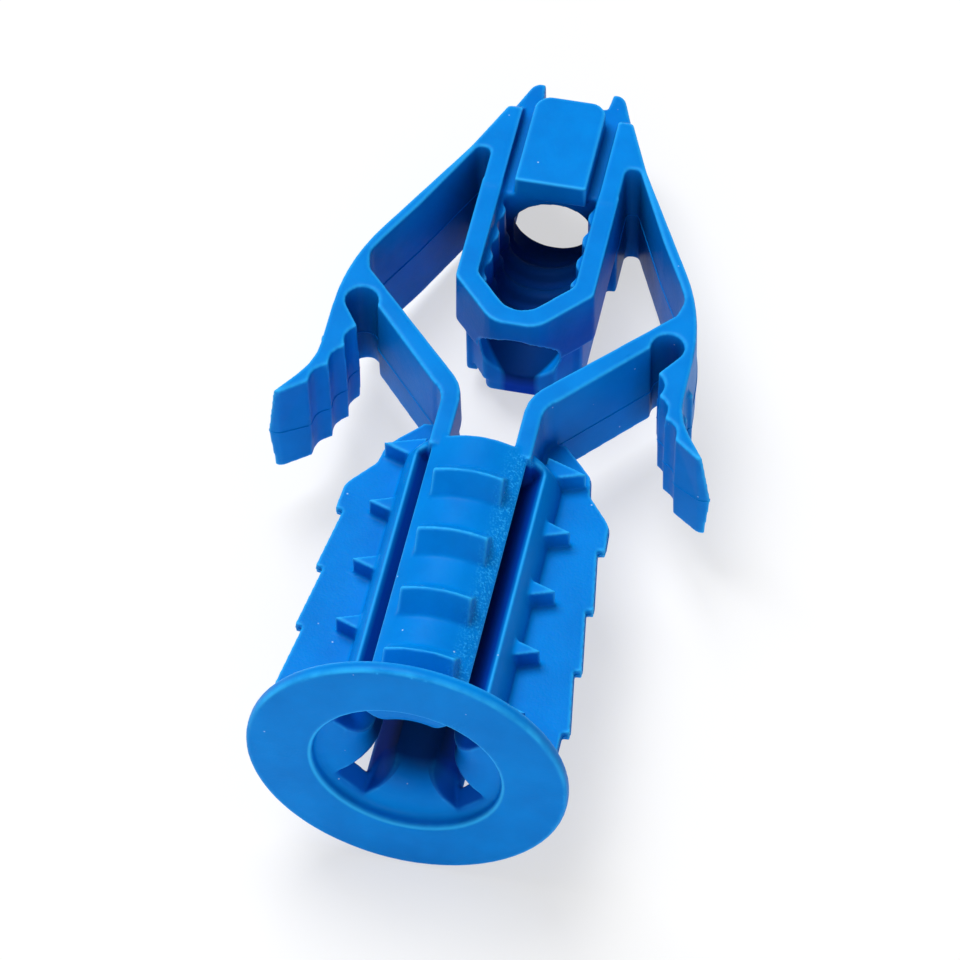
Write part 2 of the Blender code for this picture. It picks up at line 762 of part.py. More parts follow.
def channel_loop(y, radius, half_width):
    """The channel's section at one place: round below the axis, and open with straight sides above it."""
    steps = 16
    sweep = math.pi + 2 * CHANNEL_LIP
    angles = [math.pi - CHANNEL_LIP + sweep * step / steps for step in range(steps + 1)]
    points = [(radius * math.cos(a), radius * math.sin(a)) for a in angles]
    side = radius * math.sin(CHANNEL_LIP) + OVERLAP
    top = HALF_DEPTH + PAST
    points += [(half_width, side), (half_width, top), (-half_width, top), (-half_width, side)]
    return [(x, y + x * math.tan(THREAD_LEAN), z) for x, z in points]


def nut_channel():
    """What the screw's way takes away: plain at both ends, with ridges across it between them."""
    flat = THREAD_PITCH / 4
    valley = (CHANNEL_RADIUS + THREAD_DEPTH / 2, NUT_OPENING / 2 - 4 * NUT_PROUD)
    crest = (CHANNEL_RADIUS - THREAD_DEPTH / 2, CHANNEL_RADIUS)
    loops = [channel_loop(RIDGE_START - RIDGE_RUN / 2, *crest)]
    for number in range(THREAD_COUNT):
        place = UPPER_PAD_START - THREAD_PITCH * (THREAD_COUNT - number)
        if number > 0:
            loops.append(channel_loop(place + 1.5 * flat, *crest))
        loops.append(channel_loop(place + 2.5 * flat, *crest))
        loops.append(channel_loop(place + 3.5 * flat, *valley))
        loops.append(channel_loop(place + 4.5 * flat, *valley))
    ends = ((NUT_END - PAST, RIDGE_START), (UPPER_PAD_START, TIP + PAST))
    plain = [turned("plain_channel", [(CHANNEL_RADIUS, y) for y in end], BORE_STEPS) for end in ends]
    return plain, lofted("ridged_channel", loops)


def at_rest(mesh):
    """The turn and shift that lay the moulding down on the back edge of its flange and on its tip."""
    flange = Vector((FLANGE_THICKNESS - FLANGE_EDGE, -FLANGE_DIAMETER / 2))
    lowest = [Vector((v.co.y, v.co.z)) for v in mesh.vertices if v.co.y > NUT_END]
    tilt = min(math.atan2(p.y - flange.y, p.x - flange.x) for p in lowest)
    turn = Matrix.Rotation(-tilt, 4, "X")
    points = [turn @ v.co for v in mesh.vertices]
    low = [min(p[axis] for p in points) for axis in range(3)]
    high = [max(p[axis] for p in points) for axis in range(3)]
    shift = Matrix.Translation((-(low[0] + high[0]) / 2, -(low[1] + high[1]) / 2, -low[2]))
    return shift @ turn


def blue_plastic():
    """Satin azure polypropylene."""
    material = bpy.data.materials.new("blue_plastic")
    material.use_nodes = True
    shader = material.node_tree.nodes["Principled BSDF"]
    shader.inputs["Base Color"].default_value = (0.0, 0.19, 0.72, 1.0)
    shader.inputs["Roughness"].default_value = 0.35
    shader.inputs["Metallic"].default_value = 0.0
    return material


def fixing():
    """The whole moulding, as one closed body."""
    body = flange_and_shank()
    combined(body, "DIFFERENCE", [leg_gap()])
    combined(body, "UNION", board_teeth() + side_teeth() + fins())
    combined(body, "DIFFERENCE", [ejector_mark()] + at_the_slots(shank_slot))
    combined(body, "UNION", sides() + wing_ribs())
    combined(body, "DIFFERENCE", horn_ramps() + [underside(), mouth_and_bore()] + at_the_slots(slot_entry))
    nut = nut_upper_half()
    combined(nut, "UNION", nut_lower_walls() + nut_bridges())
    plain, ridged = nut_channel()
    combined(nut, "DIFFERENCE", [ridged])
    combined(nut, "UNION", nut_pads())
    combined(nut, "DIFFERENCE", plain)
    combined(body, "UNION", [nut])
    return body


def main():
    for old in list(bpy.data.objects):
        bpy.data.objects.remove(old)
    body = fixing()
    body.matrix_world = at_rest(body.data)
    body.data.materials.clear()
    body.data.materials.append(blue_plastic())
    body.data.shade_smooth()
    body.data.set_sharp_from_angle(angle=math.radians(30))


main()
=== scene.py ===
"""Looks of a blue plasterboard fixing, moulded in one piece, lying on a pale floor under soft studio light."""

import json
import math

import bmesh
import bpy
import numpy as np
from bpy.props import FloatProperty, FloatVectorProperty, IntProperty, PointerProperty
from mathutils import Matrix, Vector


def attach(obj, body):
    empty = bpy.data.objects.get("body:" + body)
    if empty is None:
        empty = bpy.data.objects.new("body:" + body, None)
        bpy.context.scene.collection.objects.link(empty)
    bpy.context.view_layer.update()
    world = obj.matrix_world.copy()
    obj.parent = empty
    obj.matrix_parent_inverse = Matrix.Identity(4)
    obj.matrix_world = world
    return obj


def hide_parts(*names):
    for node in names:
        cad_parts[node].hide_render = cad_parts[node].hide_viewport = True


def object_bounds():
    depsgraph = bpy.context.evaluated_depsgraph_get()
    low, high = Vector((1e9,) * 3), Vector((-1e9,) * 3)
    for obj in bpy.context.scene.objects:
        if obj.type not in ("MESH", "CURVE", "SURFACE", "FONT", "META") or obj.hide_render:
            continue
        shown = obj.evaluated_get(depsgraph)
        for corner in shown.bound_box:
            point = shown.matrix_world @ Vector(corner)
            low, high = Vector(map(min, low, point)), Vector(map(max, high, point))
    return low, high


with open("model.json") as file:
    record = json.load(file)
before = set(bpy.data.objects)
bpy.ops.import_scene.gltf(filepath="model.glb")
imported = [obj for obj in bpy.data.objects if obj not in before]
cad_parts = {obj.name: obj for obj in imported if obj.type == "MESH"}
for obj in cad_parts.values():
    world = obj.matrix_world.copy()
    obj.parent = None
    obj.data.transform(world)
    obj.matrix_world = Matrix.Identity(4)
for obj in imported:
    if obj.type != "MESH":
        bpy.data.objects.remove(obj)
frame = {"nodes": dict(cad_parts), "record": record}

bl_info = {
    "name": "Plasterboard fixing",
    "version": (1, 0, 0),
    "blender": (4, 5, 0),
    "location": "View3D > Sidebar > Fixing",
    "description": "Builds a folding-wing plasterboard fixing and its studio stage",
    "category": "Object",
}

CAD_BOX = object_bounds()
MM = 0.001
NODE = "fixing_body"

# The flange's flat faces are square to the fixing's own axis, so their mounts give its lie on the floor.
MOUNTS = {mount["name"]: mount for mount in frame["record"]["mounts"]}
AXIS = Vector(MOUNTS["flange_back"]["axis"]).normalized()
UPWARDS = Vector((1, 0, 0)).cross(AXIS).normalized()
FACE_RADIUS = 6.35 * MM
OWN_ORIGIN = Vector(MOUNTS["flange_front"]["pos_m"]) - UPWARDS * FACE_RADIUS

FLANGE_RADIUS = 8.0 * MM
FLANGE_MIDDLE = 0.36 * MM
COLLAR_END = 1.9 * MM
BORE_REACH = 2.7 * MM
SHANK_END = 17.6 * MM

# Degrees from the top of the flange's rim to each nub of flash, clockwise as seen from the front, and how far the
# middle of a nub lies inside the rim, as a share of the largest nub.
NUB_ANGLES = (28, 37, 45, 104, 158, 212)
NUB_SINK = 0.4

# Bands of the skin in mm along the fixing's own axes: the middle, half the width, and how far it fades out.
SHANK_RUN = (8.8, 8.6, 0.3)
STRIP_ACROSS = (2.3, 0.35, 0.7)
STRIP_HEIGHT = (3.6, 0.9, 0.5)
FIN_ACROSS = (6.2, 1.4, 0.5)
FIN_HEIGHT = (0.0, 0.5, 0.2)
# Painted shade at the slots' starts, then painted highlight lines along the flange's rim and round its mouth:
SLOT_START_WIDTH = (0.0, 1.0, 0.12)
RIM_LINE = (7.9, 0.03, 0.1)
MOUTH_RING = (4.8, 0.02, 0.1)

# Places in mm between which a painted shade or a painted highlight line fades in: first where it starts, then where
# it is full.
BELOW_THE_SKIN = (3.98, 3.7)
BEHIND_THE_MOUTH = (0.6, 2.4)
BEFORE_THE_SHANK_END = (18.1, 17.7)
AROUND_THE_AXIS = (3.0, 2.2)
BELOW_THE_NUT_TOP = (3.2, 0.8)
BETWEEN_THE_NUT_WALLS = (2.75, 2.5)
NOSE_WALL = (25.8, 26.2)
SLOT_START_FRONT = (0.62, 0.85)
SLOT_START_REACH = (5.01, 4.86)
FLANGE_FRONT = (0.35, 0.2)
UPPER_RIM = (-2, 3)

# The slots stand at this angle to the upright. Their starts taper by so much for each mm of depth, and take this
# share of the slots' painted shade.
SLOT_ANGLE = math.radians(46)
SLOT_START_TAPER = 0.58
SLOT_START_SHARE = 0.75

# The nose of the nut runs back from its middle at this slope.
NUT_SLOPE = math.tan(math.radians(47.6))

# Strength of the grain, and of the pale glints on the strip beside the slot.
PLAIN_GRAIN = 0.3
FIN_GRAIN = 0.75
STRIP_GRAIN = 1.6
STRIP_GLINT = 0.7

# The noise seldom leaves the middle quarter of its range, so the bump is this much higher than the grain.
GRAIN_SWING = 4
BUMP_STRENGTH = 0.6
SATIN_LEAST = -0.06
SATIN_MOST = 0.08
HOLLOW_ROUGHNESS = 0.6

# Painted shade: where the walls close in, the colour falls to this share of itself, between these two shares of
# open sky.
CLOSED_IN = (0.1, 0.6)
CLOSED_SHADE = 0.4

# Specks: cells per mm, the share of a cell that one fills, and the colour.
SPECK_CELLS = 0.7
SPECK_EDGE = (0.04, 0.02)
SPECK_COLOUR = (0.35, 0.6, 0.9, 1)

# Painted edge highlight, in bends per mm: where an edge starts to look pale, over how many more it reaches full,
# and the most it gets.
PALE_FROM = 0.3
PALE_OVER = 1.7
PALE_MOST = 0.85
BEND_ROUNDS = 3
SHORTEST_EDGE = 0.01

FLOOR_HALF = 1.5
KEY_PLACE = Vector((-0.18, 0.2, 0.55))
KEY_SIZE = 0.35
FILL_PLACE = Vector((0.08, -0.5, 0.16))
FILL_SIZE = 0.3

# The camera in the fixing's own frame: its place in flange widths, its axes, its lens in picture widths, and the
# point of the photograph, in pixels, that comes to the middle of the picture.
CAMERA_PLACE = Vector((2.229, -8.681, 12.871)) * 2 * FLANGE_RADIUS
CAMERA_RIGHT = Vector((0.9864, 0.1526, 0.0621))
CAMERA_UP = Vector((-0.1585, 0.7753, 0.6115))
PHOTO_SIZE = 960
PHOTO_LENS = 2460 / PHOTO_SIZE
PHOTO_POINT = (251.5, 465)


def lie():
    """The matrix from the fixing's own frame (+Y along it, +Z out of its upper side) to the floor's."""
    turn = Matrix((Vector((1, 0, 0)), AXIS, UPWARDS)).transposed().to_4x4()
    return Matrix.Translation(OWN_ORIGIN) @ turn


class MouldingSizes(bpy.types.PropertyGroup):
    """How finely the moulding is drawn, and how its edges are rounded."""

    fineness: FloatProperty(
        name="Fineness",
        description="Spacing of the points that the moulded skin is drawn with",
        default=0.08 * MM,
        min=0.05 * MM,
        subtype="DISTANCE",
        unit="LENGTH",
    )
    rounding: IntProperty(
        name="Edge rounding",
        description="How often the skin is smoothed: more rounds the moulded edges further",
        default=12,
        min=0,
        max=60,
    )
    most_faces: IntProperty(
        name="Most triangles",
        description="The skin is thinned to this many triangles",
        default=190000,
        min=1000,
    )
    line_width: FloatProperty(
        name="Parting line width",
        description="Width of the fine bead where the two halves of the mould meet",
        default=0.085 * MM,
        min=0.01 * MM,
        subtype="DISTANCE",
        unit="LENGTH",
    )
    line_spacing: FloatProperty(
        name="Parting line spacing",
        description="Distance between the points of the parting line",
        default=0.22 * MM,
        min=0.05 * MM,
        subtype="DISTANCE",
        unit="LENGTH",
    )
    nub_size: FloatProperty(
        name="Flash nub size",
        description="Largest size of the nubs of flash on the flange's rim",
        default=0.24 * MM,
        min=0.02 * MM,
        subtype="DISTANCE",
        unit="LENGTH",
    )
    nub_seed: IntProperty(
        name="Flash nub seed",
        description="Settles how the nubs differ from each other",
        default=7,
        min=0,
    )


class PlasticColours(bpy.types.PropertyGroup):
    """The colours and the finish of the plastic, with the colours of its painted highlights and painted shade."""

    blue: FloatVectorProperty(
        name="Blue",
        description="Colour of the plastic",
        default=(0.0, 0.235, 0.75),
        subtype="COLOR",
        size=3,
        min=0,
        max=1,
    )
    deep_blue: FloatVectorProperty(
        name="Deep blue",
        description="Colour where the plastic is thicker or flowed last",
        default=(0.0, 0.2, 0.67),
        subtype="COLOR",
        size=3,
        min=0,
        max=1,
    )
    # Painted highlight: this pale blue goes on thin rounded edges, the flange's rim, the mouth's ring and the
    # glints beside the slot, where light catches the plastic and shines through it.
    pale_highlight: FloatVectorProperty(
        name="Pale edge",
        description="Colour of thin rounded edges, where light comes through the plastic",
        default=(0.03, 0.46, 1.0),
        subtype="COLOR",
        size=3,
        min=0,
        max=1,
    )
    # Painted shade: the slot walls are the same plastic, drawn in this darker blue where little light reaches them.
    slot_shade_blue: FloatVectorProperty(
        name="Slot blue",
        description="Colour of the walls of the slots, a little below the skin",
        default=(0.0, 0.06, 0.48),
        subtype="COLOR",
        size=3,
        min=0,
        max=1,
    )
    # Painted shade: the darkest blue, drawn on the walls round the axis, where the least light reaches.
    bore_shade_blue: FloatVectorProperty(
        name="Bore blue",
        description="Colour of the innermost walls, around the axis",
        default=(0.0, 0.035, 0.18),
        subtype="COLOR",
        size=3,
        min=0,
        max=1,
    )
    # Painted shade: facing walls within this reach darken a face's colour.
    painted_shade_reach: FloatProperty(
        name="Recess reach",
        description="How far a facing wall makes a face a part of a recess",
        default=3.5 * MM,
        min=0.1 * MM,
        subtype="DISTANCE",
        unit="LENGTH",
    )
    roughness: FloatProperty(
        name="Roughness",
        description="Satin of the moulded skin",
        default=0.36,
        min=0,
        max=1,
        subtype="FACTOR",
    )
    grain: FloatProperty(
        name="Grain",
        description="Height of the fine grain that the mould leaves",
        default=0.012 * MM,
        min=0,
        subtype="DISTANCE",
        unit="LENGTH",
    )


class StageSettings(bpy.types.PropertyGroup):
    """Floor, lamps and camera."""

    floor: FloatVectorProperty(
        name="Floor",
        description="Colour of the floor",
        default=(0.96, 0.962, 0.965),
        subtype="COLOR",
        size=3,
        min=0,
        max=1,
    )
    shadow_lift: FloatProperty(
        name="Shadow lift",
        description="How much of the floor's shadow the white backdrop takes away",
        default=0.6,
        min=0,
        max=0.9,
        subtype="FACTOR",
    )
    lens: FloatProperty(
        name="Lens",
        description="Focal length of the camera",
        default=194.0,
        min=10,
        unit="CAMERA",
    )
    world: FloatProperty(
        name="World",
        description="Brightness of the white surroundings",
        default=0.24,
        min=0,
    )
    key_power: FloatProperty(
        name="Key lamp",
        description="Power of the large lamp above",
        default=3.6,
        min=0,
        unit="POWER",
    )
    fill_power: FloatProperty(
        name="Fill lamp",
        description="Power of the lamp on the camera's side",
        default=0.85,
        min=0,
        unit="POWER",
    )


def node_tree_group(name, sizes):
    """An empty Geometry Nodes tree with a mesh in and out, a material, and one named input for each size."""
    tree = bpy.data.node_groups.new(name, "GeometryNodeTree")
    tree.interface.new_socket("Geometry", in_out="INPUT", socket_type="NodeSocketGeometry")
    for label, kind in sizes:
        tree.interface.new_socket(label, in_out="INPUT", socket_type=kind)
    tree.interface.new_socket("Material", in_out="INPUT", socket_type="NodeSocketMaterial")
    tree.interface.new_socket("Geometry", in_out="OUTPUT", socket_type="NodeSocketGeometry")
    source = tree.nodes.new("NodeGroupInput")
    target = tree.nodes.new("NodeGroupOutput")
    return tree, source, target


def finish_tree(tree, source, target, geometry):
    """Ends a tree in shade smooth, Realize Instances and Set Material."""
    smooth = tree.nodes.new("GeometryNodeSetShadeSmooth")
    real = tree.nodes.new("GeometryNodeRealizeInstances")
    material = tree.nodes.new("GeometryNodeSetMaterial")
    tree.links.new(geometry, smooth.inputs["Geometry"])
    tree.links.new(smooth.outputs["Geometry"], real.inputs["Geometry"])
    tree.links.new(real.outputs["Geometry"], material.inputs["Geometry"])
    tree.links.new(source.outputs["Material"], material.inputs["Material"])
    tree.links.new(material.outputs["Geometry"], target.inputs["Geometry"])


def applied(piece):
    """Leaves the result of the piece's modifiers as its plain mesh."""
    bpy.context.view_layer.update()
    graph = bpy.context.evaluated_depsgraph_get()
    made = bpy.data.meshes.new_from_object(piece.evaluated_get(graph))
    if not made.polygons:
        raise RuntimeError(f"{piece.name} came out without faces")
    piece.modifiers.clear()
    spent = piece.data
    piece.data = made
    bpy.data.meshes.remove(spent)


def grown(piece, tree, values):
    """Runs the tree on the piece with the named values, and leaves its result as the piece's plain mesh."""
    modifier = piece.modifiers.new(tree.name, "NODES")
    modifier.node_group = tree
    for item in tree.interface.items_tree:
        if item.in_out == "INPUT" and item.name in values:
            modifier[item.identifier] = values[item.name]
    applied(piece)


def new_piece(name, mesh):
    """An object for the mesh, at the origin."""
    piece = bpy.data.objects.new(name, mesh)
    bpy.context.scene.collection.objects.link(piece)
    return piece


def node(tree, kind, **settings):
    """A new node with its settings."""
    made = tree.nodes.new(kind)
    for name, value in settings.items():
        setattr(made, name, value)
    return made


def ramp(tree, value, zero, one, low=0.0, high=1.0):
    """A socket that goes from low, where the value is at zero, to high, where it is at one."""
    mask = node(tree, "ShaderNodeMapRange")
    mask.inputs["From Min"].default_value = zero
    mask.inputs["From Max"].default_value = one
    mask.inputs["To Min"].default_value = low
    mask.inputs["To Max"].default_value = high
    tree.links.new(value, mask.inputs["Value"])
    return mask.outputs["Result"]


def band(tree, value, middle, half, soft):
    """A socket that is 1 where the value is within half of the middle, and falls to 0 over the soft distance."""
    away = node(tree, "ShaderNodeMath", operation="SUBTRACT")
    away.inputs[1].default_value = middle
    tree.links.new(value, away.inputs[0])
    far = node(tree, "ShaderNodeMath", operation="ABSOLUTE")
    tree.links.new(away.outputs["Value"], far.inputs[0])
    return ramp(tree, far.outputs["Value"], half + soft, half)


def scaled(tree, value, factor):
    """A socket with the value times a factor."""
    step = node(tree, "ShaderNodeMath", operation="MULTIPLY")
    step.inputs[1].default_value = factor
    tree.links.new(value, step.inputs[0])
    return step.outputs["Value"]


def noise(tree, own, scale, detail, roughness=0.5):
    """A socket of noise, from 0 to 1, with so many features per mm of the fixing."""
    made = node(tree, "ShaderNodeTexNoise")
    made.inputs["Scale"].default_value = scale
    made.inputs["Detail"].default_value = detail
    made.inputs["Roughness"].default_value = roughness
    tree.links.new(own, made.inputs["Vector"])
    return made.outputs["Fac"]


def mixed(tree, a, b, factor, blend="MIX"):
    """A colour socket that goes from a, where the factor is 0, to b; each is a socket or a plain value."""
    mix = node(tree, "ShaderNodeMix", data_type="RGBA", blend_type=blend)
    for name, given in (("A", a), ("B", b), ("Factor", factor)):
        if isinstance(given, bpy.types.NodeSocket):
            tree.links.new(given, mix.inputs[name])
        else:
            mix.inputs[name].default_value = given
    return mix.outputs["Result"]


def combined(tree, operation, *values):
    """A socket with the values joined one after another by the operation, such as MULTIPLY or MAXIMUM."""
    result = values[0]
    for value in values[1:]:
        step = node(tree, "ShaderNodeMath", operation=operation)
        tree.links.new(result, step.inputs[0])
        tree.links.new(value, step.inputs[1])
        result = step.outputs["Value"]
    return result


def own_parts(tree, own):
    """Sockets for a point's X, Y and Z along the fixing's own axes in mm, its distance to the axis and to X = 0."""
    parts = node(tree, "ShaderNodeSeparateXYZ")
    tree.links.new(own, parts.inputs["Vector"])
    x, y, z = (parts.outputs[name] for name in "XYZ")
    across = node(tree, "ShaderNodeCombineXYZ")
    tree.links.new(x, across.inputs["X"])
    tree.links.new(z, across.inputs["Z"])
    length = node(tree, "ShaderNodeVectorMath", operation="LENGTH")
    tree.links.new(across.outputs["Vector"], length.inputs[0])
    side = node(tree, "ShaderNodeMath", operation="ABSOLUTE")
    tree.links.new(x, side.inputs[0])
    return x, y, z, length.outputs["Value"], side.outputs["Value"]


def grain_strength(tree, parts):
    """Sockets for the grain's strength, most on the strip beside the right-hand slot, and for the strip itself."""
    x, y, z, _, side = parts
    shank = band(tree, y, *SHANK_RUN)
    strip = combined(tree, "MULTIPLY", band(tree, x, *STRIP_ACROSS), band(tree, z, *STRIP_HEIGHT), shank)
    fin = combined(tree, "MULTIPLY", band(tree, side, *FIN_ACROSS), band(tree, z, *FIN_HEIGHT), shank)
    strip_strength = ramp(tree, strip, 0, 1, PLAIN_GRAIN, STRIP_GRAIN)
    fin_strength = ramp(tree, fin, 0, 1, PLAIN_GRAIN, FIN_GRAIN)
    return combined(tree, "MAXIMUM", strip_strength, fin_strength), strip


def painted_shade_mask(tree, parts):
    """Painted shade and roughness mask: 0 on the outer skin, 1 well inside the shank's bore and slots, their
    starts, and the nut's channel.
    """
    _, y, z, radius, side = parts
    shank = combined(
        tree,
        "MULTIPLY",
        ramp(tree, radius, *BELOW_THE_SKIN),
        ramp(tree, y, *BEHIND_THE_MOUTH),
        ramp(tree, y, *BEFORE_THE_SHANK_END),
    )
    height = node(tree, "ShaderNodeMath", operation="ABSOLUTE")
    tree.links.new(z, height.inputs[0])
    beside_the_slot = combined(
        tree,
        "SUBTRACT",
        scaled(tree, side, math.cos(SLOT_ANGLE)),
        scaled(tree, height.outputs["Value"], math.sin(SLOT_ANGLE)),
    )
    slot_start = combined(
        tree,
        "MULTIPLY",
        band(tree, beside_the_slot, *SLOT_START_WIDTH),
        ramp(tree, y, *SLOT_START_FRONT, 0, SLOT_START_SHARE),
        ramp(tree, combined(tree, "ADD", radius, scaled(tree, y, SLOT_START_TAPER)), *SLOT_START_REACH),
    )
    behind_the_nose = combined(tree, "ADD", y, scaled(tree, side, -NUT_SLOPE))
    channel = combined(
        tree,
        "MULTIPLY",
        ramp(tree, z, *BELOW_THE_NUT_TOP),
        ramp(tree, side, *BETWEEN_THE_NUT_WALLS),
        ramp(tree, behind_the_nose, *NOSE_WALL),
    )
    return combined(tree, "MAXIMUM", shank, slot_start, channel)


def rim_highlight_mask(tree, parts, own):
    """A broken painted highlight along the upper front edge of the flange, where its flash catches the light, and a
    painted highlight ring at its mouth.
    """
    _, y, z, radius, _ = parts
    front = ramp(tree, y, *FLANGE_FRONT)
    rim = combined(
        tree,
        "MULTIPLY",
        band(tree, radius, *RIM_LINE),
        ramp(tree, z, *UPPER_RIM),
        ramp(tree, noise(tree, own, scale=0.55, detail=3), 0.38, 0.6, 0.3, 0.9),
        front,
    )
    mouth = combined(tree, "MULTIPLY", band(tree, radius, *MOUTH_RING), front)
    return combined(tree, "MAXIMUM", rim, mouth)


def fixing_plastic():
    """Satin azure plastic: mottled blue, painted highlights on thin edges and the rim, painted shade in the
    hollows, fine mould grain and a few light specks.
    """
    found = bpy.data.materials.get("fixing_plastic")
    if found:
        return found
    colours = bpy.context.scene.plastic_colours
    material = bpy.data.materials.new("fixing_plastic")
    material.use_nodes = True
    tree = material.node_tree
    link = tree.links.new
    shader = tree.nodes["Principled BSDF"]
    place = node(tree, "ShaderNodeTexCoord")
    mapping = node(tree, "ShaderNodeMapping", vector_type="POINT")
    back = lie().inverted()
    mapping.inputs["Location"].default_value = back.translation / MM
    mapping.inputs["Rotation"].default_value = back.to_euler()
    mapping.inputs["Scale"].default_value = (1 / MM, 1 / MM, 1 / MM)
    link(place.outputs["Object"], mapping.inputs["Vector"])
    own = mapping.outputs["Vector"]
    parts = own_parts(tree, own)

    mottle = ramp(tree, noise(tree, own, scale=0.35, detail=4, roughness=0.55), 0.35, 0.65)
    tone = mixed(tree, (*colours.deep_blue, 1), (*colours.blue, 1), mottle)

    strength, strip = grain_strength(tree, parts)
    sparkle = ramp(tree, noise(tree, own, scale=9, detail=2), 0.5, 0.66)
    glints = combined(tree, "MULTIPLY", sparkle, scaled(tree, strip, STRIP_GLINT))
    # Painted highlight on thin edges, on the flange's rim and mouth ring, and in the glints.
    edge = node(tree, "ShaderNodeAttribute", attribute_name="edge_highlight")
    lines = combined(tree, "MAXIMUM", edge.outputs["Fac"], rim_highlight_mask(tree, parts, own), glints)
    pale = mixed(tree, tone, (*colours.pale_highlight, 1), lines)

    cells = node(tree, "ShaderNodeTexVoronoi", feature="F1")
    cells.inputs["Scale"].default_value = SPECK_CELLS
    link(own, cells.inputs["Vector"])
    specked = mixed(tree, pale, SPECK_COLOUR, ramp(tree, cells.outputs["Distance"], *SPECK_EDGE))

    # Painted shade in the bore, the slots and the nut's channel.
    radius = parts[3]
    innermost = ramp(tree, radius, *AROUND_THE_AXIS)
    hollow_shade = mixed(tree, (*colours.slot_shade_blue, 1), (*colours.bore_shade_blue, 1), innermost)
    inside = painted_shade_mask(tree, parts)
    hollow = mixed(tree, specked, hollow_shade, inside)
    # Painted shade where the fixing's own walls close in around a face.
    openness = node(tree, "ShaderNodeAmbientOcclusion", samples=8, only_local=True)
    openness.inputs["Distance"].default_value = colours.painted_shade_reach
    shade = ramp(tree, openness.outputs["AO"], *CLOSED_IN, CLOSED_SHADE, 1)
    link(mixed(tree, hollow, shade, 1, "MULTIPLY"), shader.inputs["Base Color"])

    grain = noise(tree, own, scale=7, detail=3)
    height = node(tree, "ShaderNodeMath", operation="MULTIPLY_ADD")
    link(grain, height.inputs[0])
    link(strength, height.inputs[1])
    link(noise(tree, own, scale=0.6, detail=2), height.inputs[2])
    bump = node(tree, "ShaderNodeBump")
    bump.inputs["Strength"].default_value = BUMP_STRENGTH
    bump.inputs["Distance"].default_value = colours.grain * GRAIN_SWING
    link(height.outputs["Value"], bump.inputs["Height"])
    link(bump.outputs["Normal"], shader.inputs["Normal"])

    satin = ramp(tree, grain, 0, 1, colours.roughness + SATIN_LEAST, colours.roughness + SATIN_MOST)
    rough = combined(tree, "MAXIMUM", satin, scaled(tree, inside, HOLLOW_ROUGHNESS))
    link(rough, shader.inputs["Roughness"])
    shader.inputs["IOR"].default_value = 1.49
    shader.inputs["Specular IOR Level"].default_value = 0.04
    shader.inputs["Subsurface Weight"].default_value = 0.08
    shader.inputs["Subsurface Radius"].default_value = (0.1, 0.5, 1.0)
    shader.inputs["Subsurface Scale"].default_value = 0.6 * MM
    return material


def merged_copy(source):
    """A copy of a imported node's mesh with its loose triangles joined."""
    shape = bmesh.new()
    shape.from_mesh(source.data)
    bmesh.ops.remove_doubles(shape, verts=shape.verts, dist=0.001 * MM)
    mesh = bpy.data.meshes.new("merged")
    shape.to_mesh(mesh)
    shape.free()
    return mesh


def mark_edge_highlights(mesh):
    """Writes a painted highlight share at each point, growing with how sharply the skin (in mm) curves outwards, as
    a point attribute that the material reads.
    """
    count = len(mesh.vertices)
    points = np.empty(count * 3, np.float32)
    mesh.vertices.foreach_get("co", points)
    points = points.reshape(-1, 3)
    normals = np.empty(count * 3, np.float32)
    mesh.vertex_normals.foreach_get("vector", normals)
    normals = normals.reshape(-1, 3)
    edges = np.empty(len(mesh.edges) * 2, np.int32)
    mesh.edges.foreach_get("vertices", edges)
    a, b = edges.reshape(-1, 2).T
    run = points[b] - points[a]
    length = np.maximum(np.linalg.norm(run, axis=1), SHORTEST_EDGE)
    run /= length[:, None]
    bend = np.zeros(count)
    ways = np.zeros(count)
    np.add.at(bend, a, -(normals[a] * run).sum(1) / length)
    np.add.at(bend, b, (normals[b] * run).sum(1) / length)
    np.add.at(ways, a, 1)
    np.add.at(ways, b, 1)
    bend /= np.maximum(ways, 1)
    for _ in range(BEND_ROUNDS):
        around = np.zeros(count)
        np.add.at(around, a, bend[b])
        np.add.at(around, b, bend[a])
        bend = (bend + around / np.maximum(ways, 1)) / 2
    share = np.clip((bend - PALE_FROM) / PALE_OVER, 0, PALE_MOST)
    attribute = mesh.attributes.new("edge_highlight", "FLOAT", "POINT")
    attribute.data.foreach_set("value", share.astype(np.float32))


class OBJECT_OT_fixing_moulding(bpy.types.Operator):
    """Draws the whole moulding with its rounded edges"""

    bl_idname = "object.fixing_moulding"
    bl_label = "Moulding"

    def execute(self, context):
        sizes = context.scene.moulding_sizes
        to_own = Matrix.Scale(1 / MM, 4) @ lie().inverted()
        piece = new_piece("moulding", merged_copy(frame["nodes"][NODE]))
        piece.data.transform(to_own)
        skin = piece.modifiers.new("skin", "REMESH")
        skin.mode = "VOXEL"
        skin.voxel_size = sizes.fineness / MM
        skin.use_smooth_shade = True
        rounded = piece.modifiers.new("rounding", "SMOOTH")
        rounded.factor = 0.5
        rounded.iterations = sizes.rounding
        applied(piece)
        triangles = sum(len(face.vertices) - 2 for face in piece.data.polygons)
        thinned = piece.modifiers.new("thinning", "DECIMATE")
        thinned.ratio = min(1, sizes.most_faces / triangles)
        applied(piece)
        mark_edge_highlights(piece.data)
        piece.data.transform(to_own.inverted())
        piece.data.shade_smooth()
        piece.data.materials.clear()
        piece.data.materials.append(fixing_plastic())
        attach(piece, "root")
        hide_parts(NODE)
        return {"FINISHED"}


